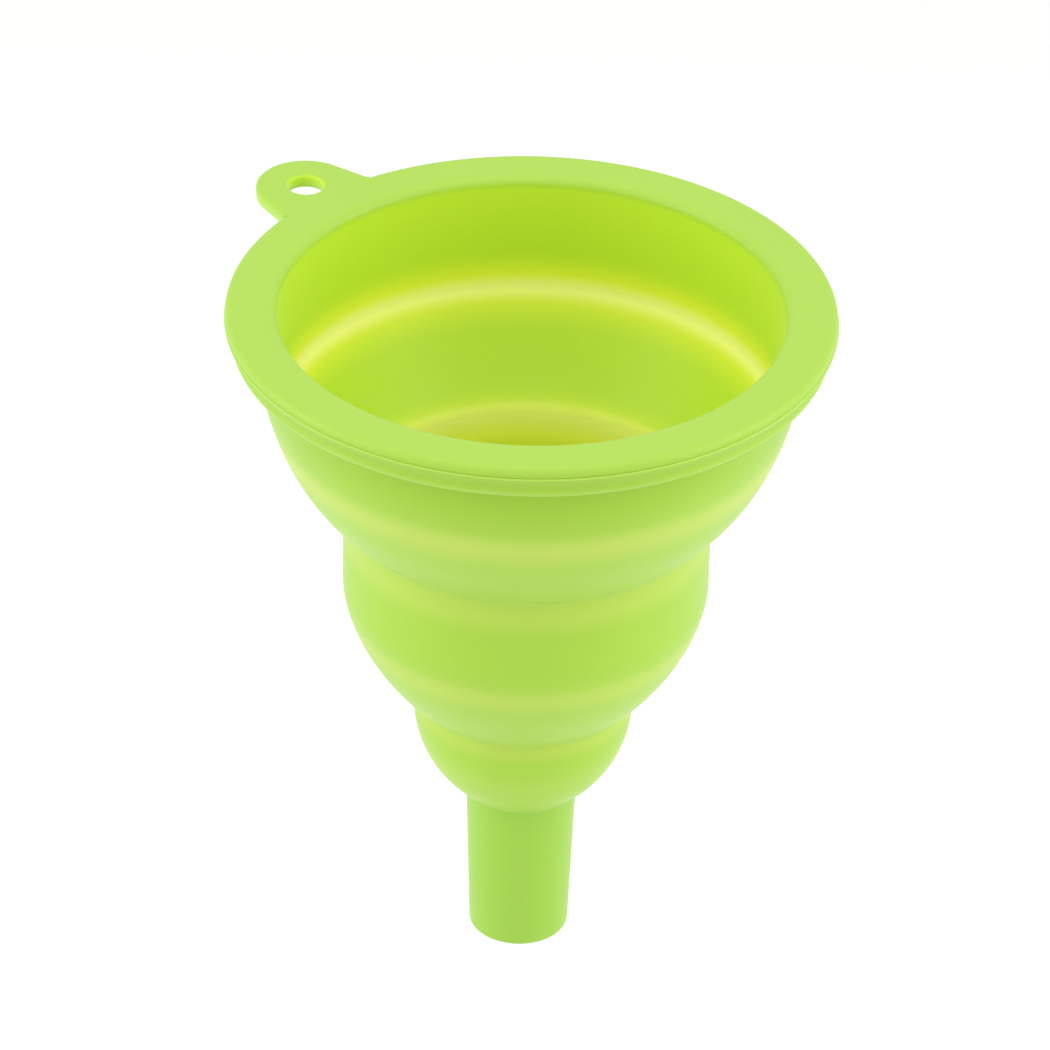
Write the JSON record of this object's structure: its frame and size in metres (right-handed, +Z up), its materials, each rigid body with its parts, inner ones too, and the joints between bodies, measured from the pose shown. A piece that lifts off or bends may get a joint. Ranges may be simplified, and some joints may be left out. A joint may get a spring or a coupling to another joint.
{
  "type": "folding kitchen funnel",
  "caption": "Folding silicone funnel with a flat rim, a hanging tab, nested tiers on thin folding webs and a tapered spout.",
  "frame": {"origin": "on the pouring axis, at the corner where the spout leaves the lowest tier, which is the level of a bottle's mouth", "axes": "+Z up the pouring axis to the mouth, -X towards the hanging tab"},
  "size_m": [0.1121, 0.1, 0.121],
  "materials": {
    "rim_silicone": "satin silicone rubber, pale lime green",
    "wall_silicone": "satin silicone rubber, lime green",
    "web_silicone": "satin silicone rubber, thin and slightly translucent",
    "spout_silicone": "satin silicone rubber, deeper lime green"
  },
  "bodies": {
    "rim": {"rim_flange": "rim_silicone", "hang_tab": "rim_silicone", "upper_wall": "wall_silicone", "upper_web": "web_silicone"},
    "middle": {"middle_ring": "wall_silicone", "middle_web": "web_silicone"},
    "lower": {"lower_ring": "wall_silicone", "lower_web": "web_silicone"},
    "spout": {"spout_tube": "spout_silicone"}
  },
  "joints": [
    {"name": "upper_fold", "type": "slide", "parent": "rim", "child": "middle", "axis": [0, 0, 1], "range_m": [0, 0.0344], "deforming": ["upper_web"]},
    {"name": "middle_fold", "type": "slide", "parent": "middle", "child": "lower", "axis": [0, 0, 1], "range_m": [0, 0.0312], "deforming": ["middle_web"]},
    {"name": "lower_fold", "type": "slide", "parent": "lower", "child": "spout", "axis": [0, 0, 1], "range_m": [0, 0.0202], "deforming": ["lower_web"]}
  ]
}
